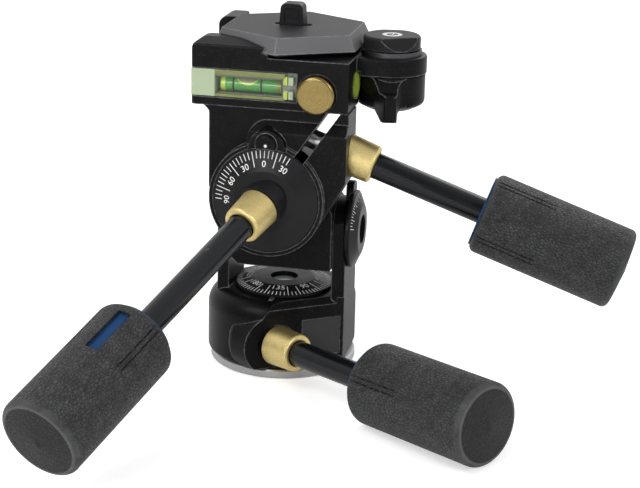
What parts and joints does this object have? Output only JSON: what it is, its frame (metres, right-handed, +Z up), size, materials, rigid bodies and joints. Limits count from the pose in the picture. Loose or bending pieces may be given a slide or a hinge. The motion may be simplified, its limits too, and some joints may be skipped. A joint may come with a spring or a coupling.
{
  "type": "three way pan tilt head",
  "caption": "Three-way tripod head with panning fork, two tilt axes, grip handles on brass ferrules, degree dials, bubble levels and a hexagonal quick-release plate.",
  "frame": {"origin": "centre of the base plate's underside, at the mouth of the tripod thread", "axes": "+Z up along the pan axis; +X to the operator's right along the front tilt axis; -Y towards the operator, who holds the handles"},
  "size_m": [0.2579, 0.262, 0.1894],
  "materials": {
    "casting": "satin black powder coat",
    "shaft_steel": "machined",
    "base_metal": "satin",
    "polymer": "matte",
    "dial": "matte with white marks",
    "dial_cap": "gloss",
    "plate_grey": "satin grey",
    "brass": "satin",
    "rod_black": "gloss black",
    "rubber": "grained",
    "core_blue": "matte",
    "clear_block": "clear",
    "liquid": "clear green",
    "liquid_pale": "clear",
    "bubble": "clear",
    "white_mark": "matte",
    "bronze": "plain",
    "spring_steel": "plain",
    "bright_screw": "polished"
  },
  "bodies": {
    "base": {"base_plate": "base_metal", "thread_bush": "shaft_steel", "grub_screws": "shaft_steel", "pan_spindle": "shaft_steel", "floor_washer": "polymer", "spindle_nut": "shaft_steel", "pan_scale": "dial", "pan_level_cup": "dial", "pan_level_vial": "liquid_pale"},
    "pan_fork": {"pan_housing": "casting", "pan_brake_shoe": "bronze", "blank_plate": "polymer", "arm_bush_left": "bronze", "arm_bush_right": "bronze"},
    "pan_handle": {"pan_handle_ferrule": "brass", "pan_handle_stud": "shaft_steel", "pan_handle_rod": "rod_black", "pan_handle_core": "core_blue", "pan_handle_grip": "rubber"},
    "tilt_block_body": {"tilt_block": "casting", "cross_shaft": "shaft_steel", "left_cap": "polymer", "right_cap": "dial_cap", "cap_screw": "bright_screw", "trunnion": "shaft_steel", "side_washer": "polymer", "rear_nut": "shaft_steel", "rear_cap": "polymer", "front_dial": "dial", "dial_screws": "shaft_steel"},
    "front_handle": {"front_handle_ferrule": "brass", "front_handle_stud": "shaft_steel", "front_handle_rod": "rod_black", "front_handle_core": "core_blue", "front_handle_grip": "rubber", "front_handle_pin": "shaft_steel"},
    "upper_head": {"upper_casting": "casting", "index_dot": "white_mark", "platform_screws": "shaft_steel", "platform": "casting", "level_block": "clear_block", "level_liquid": "liquid", "level_bubble": "bubble", "side_level_cup": "clear_block", "side_level_vial": "liquid", "camera_plate": "plate_grey", "button_spring": "spring_steel", "cam_washer": "base_metal"},
    "side_handle": {"side_handle_ferrule": "brass", "side_handle_stud": "shaft_steel", "side_handle_rod": "rod_black", "side_handle_core": "core_blue", "side_handle_grip": "rubber"},
    "button": {"safety_button": "brass"},
    "lever": {"release_lever": "casting", "release_cam": "plate_grey", "pivot_screw": "bright_screw"},
    "screw_slider": {"screw_guide": "shaft_steel"},
    "screw": {"camera_screw": "shaft_steel", "screw_cap": "polymer"}
  },
  "joints": [
    {"name": "pan", "type": "hinge", "parent": "base", "child": "pan_fork", "pos_m": [0, 0, 0.005], "axis": [0, 0, 1], "continuous": true},
    {"name": "front_tilt", "type": "hinge", "parent": "pan_fork", "child": "tilt_block_body", "pos_m": [0, 0, 0.0728], "axis": [1, 0, 0], "range_deg": [-90, 30]},
    {"name": "side_tilt", "type": "hinge", "parent": "tilt_block_body", "child": "upper_head", "pos_m": [0, 0, 0.0973], "axis": [0, 1, 0], "range_deg": [-90, 30]},
    {"name": "front_handle_turn", "type": "hinge", "parent": "tilt_block_body", "child": "front_handle", "pos_m": [-0.0012, -0.0512, 0.0959], "axis": [-0.3111, -0.8835, -0.3502], "range_deg": [0, 180]},
    {"name": "side_handle_turn", "type": "hinge", "parent": "upper_head", "child": "side_handle", "pos_m": [0.0347, -0.024, 0.1199], "axis": [0.9444, 0, -0.3289], "range_deg": [0, 180]},
    {"name": "pan_handle_turn", "type": "hinge", "parent": "pan_fork", "child": "pan_handle", "pos_m": [0.0043, -0.0349, 0.0175], "axis": [0.8188, -0.5734, 0.0279], "range_deg": [0, 180]},
    {"name": "button_press", "type": "slide", "parent": "upper_head", "child": "button", "axis": [0, 1, 0], "range_m": [0, 0.0025], "stiffness_N_per_m": 600, "springref_m": -0.002, "deforming": ["button_spring"]},
    {"name": "lever_turn", "type": "hinge", "parent": "upper_head", "child": "lever", "pos_m": [0.0533, 0, 0.15], "axis": [0, 0, 1], "range_deg": [0, 80]},
    {"name": "screw_slide", "type": "slide", "parent": "upper_head", "child": "screw_slider", "axis": [1, 0, 0], "range_m": [-0.004, 0.004]},
    {"name": "screw_turn", "type": "hinge", "parent": "screw_slider", "child": "screw", "pos_m": [0.0019, 0.002, 0.17], "axis": [0, 0, 1], "continuous": true}
  ]
}
